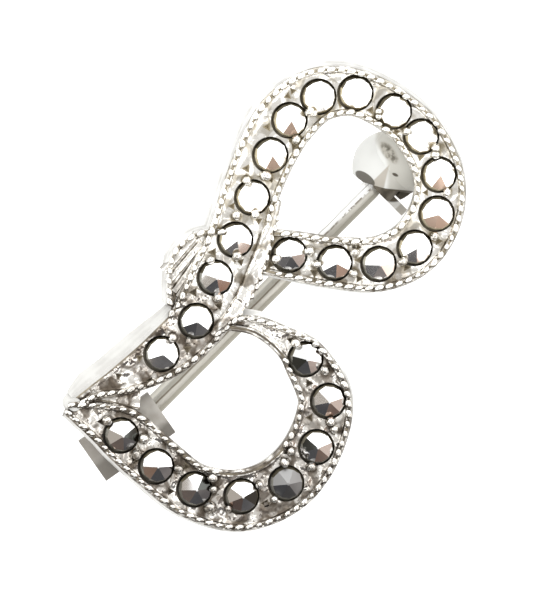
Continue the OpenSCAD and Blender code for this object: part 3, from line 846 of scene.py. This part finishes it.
def cut_pyrite(name, brown_side, pink=0, dark_side=0, chip=None, shine=1.0, roughness=0.04):
    """Pyrite with painted shade on the facets that face down the picture, another grey for each facet and
    brown on the facets of one side, 1 for the picture's right and -1 for its left; the other facets stay
    white, and in the upper loop the painted shade is left out. Pink is the share of a dull pinkish brown on
    the lowest facets, and the dark side is that of one facet painted nearly black, a painted dark
    reflection. The bevel has painted shade round the stone. A chip is the middle of a pitted place."""
    material, nodes, spot = new_finish(name)
    facing = nodes.add("ShaderNodeNewGeometry", out="Normal")
    slope = nodes.dotted(facing, down_slope)
    rightward = nodes.dotted(facing, right_slope)
    bevel = 1 - nodes.dotted(facing, out).over(0.6, 0.75)
    upper_loop = 1 - nodes.dotted(spot, low_side).over(*UPPER_LOOP_EDGE)
    far = nodes.add("ShaderNodeVectorMath", {"operation": "SCALE"}, {0: spot, "Scale": TONE_PER_MM / MM})
    key = nodes.vector("MULTIPLY_ADD", facing, (TONE_PER_TURN,) * 3, far)
    tone = nodes.add("ShaderNodeTexNoise", {}, {"Vector": key, "Scale": 1.0, "Detail": 0.0}).over(0.36, 0.64)
    cloud = nodes.noise(spot, 1.6, 4.0)
    # The greys and browns of the painted shade on the facets that face down the picture.
    grey = nodes.blend(tone, (0.34, 0.35, 0.37, 1), (0.8, 0.79, 0.79, 1))
    brown = nodes.blend(tone, (0.46, 0.32, 0.26, 1), (0.74, 0.59, 0.5, 1))
    low_colour = nodes.blend((rightward * brown_side).over(0.02, 0.05), grey, brown)
    low_colour = nodes.blend(cloud.over(0.3, 0.7) * 0.35, low_colour, (0.4, 0.39, 0.4, 1))
    # In the upper loop those facets are near white, without the painted shade.
    low_colour = nodes.blend(upper_loop, low_colour, (1.0, 0.97, 0.93, 1))
    # Painted shade: the facets that face down the picture take those colours, the others stay white.
    colour = nodes.blend(slope.over(0.1, 0.18), (1.0, 1.0, 1.0, 1), low_colour)
    dulled = slope.over(0.28, 0.32) * pink
    colour = nodes.blend(dulled, colour, (0.41, 0.3, 0.235, 1))
    # Painted dark reflection: the facet turned to the dark side is nearly black.
    turned_away = (rightward * dark_side).over(0.3, 0.34) * (1 - slope.over(0.14, 0.2))
    colour = nodes.blend(turned_away, colour, (0.085, 0.09, 0.085, 1))
    colour = nodes.blend(1.0, colour, (shine, shine, shine, 1), "MULTIPLY")
    # Painted shade on the bevel: dark where it faces up the picture and to the right, and toward the side
    # that faces down and left grey, olive in the upper loop.
    worn_and_bevel_shade = nodes.blend(upper_loop, (0.3, 0.295, 0.265, 1), (0.42, 0.37, 0.26, 1))
    edge = nodes.blend((slope - rightward * 0.5).over(-0.1, 0.35), (0.085, 0.075, 0.052, 1), worn_and_bevel_shade)
    colour = nodes.blend(bevel, colour, edge)
    lifted = nodes.vector("MULTIPLY_ADD", out, (1, 1, 1), facing)
    normal = nodes.blend(bevel, facing, nodes.vector("NORMALIZE", lifted))
    roughness = roughness + cloud * 0.05 + bevel * 0.3
    if chip is not None:
        reach = nodes.vector("DISTANCE", spot, chip, out="Value")
        pits = nodes.noise(spot, 4.5, 2.0)
        chipped = 1 - (reach / MM + pits * 0.3 - 0.15).over(CHIP_REACH - CHIP_EDGE, CHIP_REACH)
        pitted = nodes.blend(pits.over(0.42, 0.58), (0.09, 0.08, 0.07, 1), (0.95, 0.93, 0.9, 1))
        colour = nodes.blend(chipped, colour, pitted)
        normal = nodes.add("ShaderNodeBump", {}, {
            "Strength": 1.0, "Distance": 0.12 * MM, "Height": pits * chipped, "Normal": normal})
        roughness = roughness + chipped * 0.25
    nodes.surface("ShaderNodeBsdfPrincipled", {
        "Base Color": colour, "Metallic": 1 - dulled * 0.55, "Roughness": roughness, "Normal": normal})
    return material


def paint(name, finish):
    """Gives one of the solids its only finish."""
    finishes = frame["nodes"][name].data.materials
    finishes.clear()
    finishes.append(finish)


chip_x, chip_y = beside(CHIPPED_STONE, *CHIP_PX)
chip_middle = Vector(lay([(chip_x, chip_y, seats[CHIPPED_STONE - 1][2])])[0])
marcasite = cut_pyrite("marcasite", 1)
finish_groups = {
    GREY_STONES: cut_pyrite("grey_marcasite", 0),
    PINK_STONES: cut_pyrite("pink_marcasite", 1, pink=1),
    LEFT_BROWN_STONES: cut_pyrite("left_marcasite", -1),
    DARK_LEFT_STONES: cut_pyrite("dark_left_marcasite", 0, dark_side=-1),
    DARK_RIGHT_STONES: cut_pyrite("dark_right_marcasite", -1, dark_side=1),
    (DULL_STONE,): cut_pyrite("dull_marcasite", 0, shine=0.29, roughness=0.3),
    (CHIPPED_STONE,): cut_pyrite("chipped_marcasite", 1, dark_side=-1, chip=chip_middle)}
own_finish = {stone: finish for stones, finish in finish_groups.items() for stone in stones}
for number in range(1, STONE_COUNT + 1):
    paint(f"stone_{number:02d}", own_finish.get(number, marcasite))


# The pin behind the letter: a polished wire with its light and shade painted by the way each point faces:
# white on its upper left, with one brown pitted streak along it and two bands of painted shade on its right,
# paler than the streak, and painted shade at its end by the hinge.
def streaked_wire():
    """The wire's silver, its light and shade painted by how far each point of it faces to the picture's
    lower right.
    """
    material, nodes, spot = new_finish("streaked_wire")
    facing = nodes.add("ShaderNodeNewGeometry", out="Normal")
    side = nodes.dotted(facing, leaned) + nodes.noise(spot, 0.8, 2.0) * 0.2 - 0.1
    pits = nodes.noise(spot, 4.0, 3.0)
    along = nodes.dotted(spot, along_pin)
    near_catch = along.over(4.0 * MM, 6.0 * MM)
    broken = 1 - near_catch * (1 - pits.over(0.42, 0.52))
    streak = side.over(-0.1, -0.04) * (1 - side.over(0.06, 0.14)) * broken
    rim = side.over(-0.56, -0.5) * (1 - side.over(-0.46, -0.4))
    # Painted shade on the wire's end by the hinge.
    low_end = 1 - along.over(1.5 * MM, 2.5 * MM)
    left_colour = nodes.blend(low_end, (0.86, 0.86, 0.85, 1), (0.44, 0.425, 0.38, 1))
    # Painted shade on the side that faces the picture's lower right.
    colour = nodes.blend(side.over(0.04, 0.12), left_colour, (0.54, 0.52, 0.47, 1))
    colour = nodes.blend(side.over(0.5, 0.6), colour, (0.37, 0.35, 0.295, 1))
    colour = nodes.blend(rim * 0.8, colour, (0.36, 0.355, 0.34, 1))
    colour = nodes.blend(streak * 0.9, colour, (0.19, 0.16, 0.12, 1))
    nodes.surface("ShaderNodeBsdfPrincipled", {
        "Base Color": colour, "Metallic": 0.3, "Roughness": 0.3 + streak * 0.2})
    return material


paint("pin", streaked_wire())

# The hinge's folded plate and its rivet, of drawn wire. The plate is brown with painted shade where its two
# cheeks run in behind the letter and at their far corners. Its places are pixels of the photograph, to the
# right or down along the pin.
CHEEK_DOWN = (412, 428)
CHEEK_RIGHT = (115, 125)
CORNER_RIGHT = (112, 122)
FAR_DOWN = (446, 455)
PLATE_SHADE = (0.11, 0.1, 0.085, 1)


def dull_plate():
    """Dull silver with clouds of brown, and painted shade where the cheeks run in behind the letter and at
    their far corners.
    """
    material, nodes, spot = new_finish("dull_plate")
    cloud = nodes.noise(spot, 0.7, 3.0)
    x, y = picture_place(nodes, spot)
    down = x * 0.5 + y * 0.87 + cloud * 12 - 6
    colour = nodes.blend(cloud.over(0.35, 0.65), (0.42, 0.4, 0.37, 1), (0.3, 0.28, 0.25, 1))
    # Painted shade where the cheeks run in behind the letter and at their corners.
    colour = nodes.blend((1 - down.over(*CHEEK_DOWN)) * x.over(*CHEEK_RIGHT) * 0.8, colour, PLATE_SHADE)
    colour = nodes.blend((1 - x.over(*CORNER_RIGHT)) * 0.5, colour, (0.15, 0.135, 0.12, 1))
    colour = nodes.blend(down.over(*FAR_DOWN) * 0.8, colour, PLATE_SHADE)
    nodes.surface("ShaderNodeBsdfPrincipled", {"Base Color": colour, "Metallic": 0.3, "Roughness": 0.45})
    return material


def drawn_wire():
    """Bright wire with faint clouds in its colour and gloss."""
    material, nodes, spot = new_finish("rivet_wire")
    cloud = nodes.noise(spot, 0.9, 4.0)
    colour = nodes.blend(cloud.over(0.3, 0.7), (0.75, 0.73, 0.7, 1), (0.6, 0.58, 0.55, 1))
    nodes.surface("ShaderNodeBsdfPrincipled", {
        "Base Color": colour, "Metallic": 1.0, "Roughness": 0.25 + cloud * 0.1})
    return material


paint("hinge", dull_plate())
paint("rivet", drawn_wire())

# The catch's housing: pale dull metal, its right half greyed with painted shade, where a patch of dark pits
# runs down it. Its places are pixels of the photograph. The painted shade begins at GREY_X, further to the
# right below GREY_STEP_Y. The wedge of painted shade over the mouth and the black painted shade of the
# underside have slanting edges.
GREY_X = 376
GREY_STEP = 12
GREY_STEP_Y = (138, 168)
PITS_OVAL = ((389, 153), (16, 7), 52)
DARK_SPOT = ((395, 175), (3.4, 1.6), 25, (0.4, 1.4))
LIP_OVAL = ((365, 178.5), (11.5, 5), 36, (0.85, 1.1))
WEDGE_FROM = (553, 555)
WEDGE_TO = (388, 390)
WEDGE_Y = 166
WEDGE_LEAN = 0.24
UNDER_FROM = (372, 374)
UNDER_Y = (187.5, 188.5)
UNDER_X = 378
UNDER_LEAN = 0.09


def pitted_metal():
    """The catch's metal, with painted shade: a dark oval at the lips of its mouth where the hollow is, the
    underside nearly black, and darkening in its hollows.
    """
    material, nodes, spot = new_finish("pale_catch")
    x, y = picture_place(nodes, spot)
    cloud = nodes.noise(spot, 0.9, 3.0)
    pits = nodes.noise(spot, 3.3, 4.0)
    grey_edge = y.over(*GREY_STEP_Y) * GREY_STEP + GREY_X
    # Painted shade on the right half.
    greyer = (x - grey_edge + cloud * 4 - 2).over(-3, 3)
    colour = nodes.blend(greyer, (0.57, 0.575, 0.56, 1), (0.4, 0.39, 0.355, 1))
    reach = oval(x, y, *PITS_OVAL)
    colour = nodes.blend((1 - (reach + cloud - 0.5).over(0.2, 1.0)) * 0.6, colour, (0.27, 0.25, 0.205, 1))
    dark_pits = pits.over(0.42, 0.62) * (1 - reach.over(0.05, 0.9))
    colour = nodes.blend(dark_pits, colour, (0.09, 0.08, 0.06, 1))
    colour = nodes.blend(within(x, y, *DARK_SPOT), colour, (0.06, 0.05, 0.035, 1))
    # Painted shade: the wedge over the mouth.
    wedge = (x + y).over(*WEDGE_FROM) * (1 - (x + (y - WEDGE_Y) * WEDGE_LEAN).over(*WEDGE_TO))
    colour = nodes.blend(wedge * 0.9, colour, (0.34, 0.31, 0.265, 1))
    # Painted shade: a dark oval where the hollow at the mouth's lips is.
    colour = nodes.blend(within(x, y, *LIP_OVAL) * 0.95, colour, (0.07, 0.062, 0.048, 1))
    # Painted shade: the underside nearly black.
    under = (y - (x - UNDER_X) * UNDER_LEAN).over(*UNDER_Y) * x.over(*UNDER_FROM)
    colour = nodes.blend(under, colour, (0.06, 0.05, 0.032, 1))
    # Painted shade in the hollows, darker where the openness is low.
    colour = nodes.blend(1 - nodes.openness(0.8).over(0.15, 0.5), colour, (0.05, 0.04, 0.025, 1))
    nodes.surface("ShaderNodeBsdfPrincipled", {"Base Color": colour, "Metallic": 0.1, "Roughness": 0.5})
    return material


pale_catch = pitted_metal()
paint("catch", pale_catch)

# The catch's roller, which turns in the housing: brown tarnish and dark painted shade in the mouth, with its
# tab rubbed bright.
# The tab begins outside the mouth's oval, and is greyer where its two pixel coordinates add up to more.
MOUTH_OVAL = ((393, 181), (21, 21), 0)
TAB_END = (603, 606)


def roller_tarnish_and_shade():
    """Dark tarnish and painted shade, and silver on the tab."""
    material, nodes, spot = new_finish("roller_tarnish_and_shade")
    cloud = nodes.noise(spot, 1.4, 3.0)
    x, y = picture_place(nodes, spot)
    # Tarnish and painted shade: nearly black to dark brown inside the mouth.
    colour = nodes.blend(cloud.over(0.35, 0.65), (0.045, 0.037, 0.024, 1), (0.13, 0.11, 0.08, 1))
    colour = nodes.blend(oval(x, y, *MOUTH_OVAL).over(0.9, 1.1), colour, (0.72, 0.71, 0.69, 1))
    colour = nodes.blend((x + y).over(*TAB_END), colour, (0.45, 0.43, 0.39, 1))
    nodes.surface("ShaderNodeBsdfPrincipled", {"Base Color": colour, "Metallic": 0.2, "Roughness": 0.5})
    return material


paint("roller", roller_tarnish_and_shade())

# The solder that holds the catch: a grey pitted lump between the ball and the letter's back, hollow round
# the roller and open at the mouth. Lengths are in millimetres, across the wire, along it and out from it.
SOLDER_PLACE = (-0.05, 9.62, 1.0)
SOLDER_SIZE = (1.85, 1.75, 1.32)
BALL_SHIFT = -0.2
BORE_R = 1.3
BORE_LONG = 8
BORE_SIDES = 48
MOUTH_TURN = math.radians(31)
MOUTH_STEP = 1.02
MOUTH_BLOCK = 6


def lay_on_pin(points):
    """Points of the pin's own frame, in millimetres, as points of the lying brooch, in metres."""
    axes = np.array([across_pin, along_pin, out]) * MM
    return points @ axes + np.array(pin_middle)


work = bmesh.new()
bmesh.ops.create_icosphere(
    work, subdivisions=5, radius=1,
    matrix=Matrix.Translation(SOLDER_PLACE) @ Matrix.Diagonal((*SOLDER_SIZE, 1)))
solder = add_object("solder", mesh_from("solder", work))
solder.data.materials.append(pale_catch)
work = bmesh.new()
bmesh.ops.create_cone(
    work, cap_ends=True, segments=BORE_SIDES, radius1=BORE_R, radius2=BORE_R, depth=BORE_LONG,
    matrix=Matrix.Translation((0, SOLDER_PLACE[1], 0)) @ Matrix.Rotation(math.pi / 2, 4, "X"))
cut_or_join(solder, add_object("bore", mesh_from("bore", work)), "DIFFERENCE")
work = bmesh.new()
mouth_place = Matrix.Translation((BALL_SHIFT, CATCH_ALONG / MM, 0)) @ Matrix.Rotation(MOUTH_TURN, 4, "Z")
bmesh.ops.create_cube(
    work, size=MOUTH_BLOCK, matrix=mouth_place @ Matrix.Translation((0, -MOUTH_STEP - MOUTH_BLOCK / 2, 0)))
cut_or_join(solder, add_object("mouth", mesh_from("mouth", work)), "DIFFERENCE")
move_corners(solder.data, lay_on_pin)
solder.data.shade_smooth()
solder.data.set_sharp_from_angle(angle=SMOOTH_ANGLE)
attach(solder, "root")
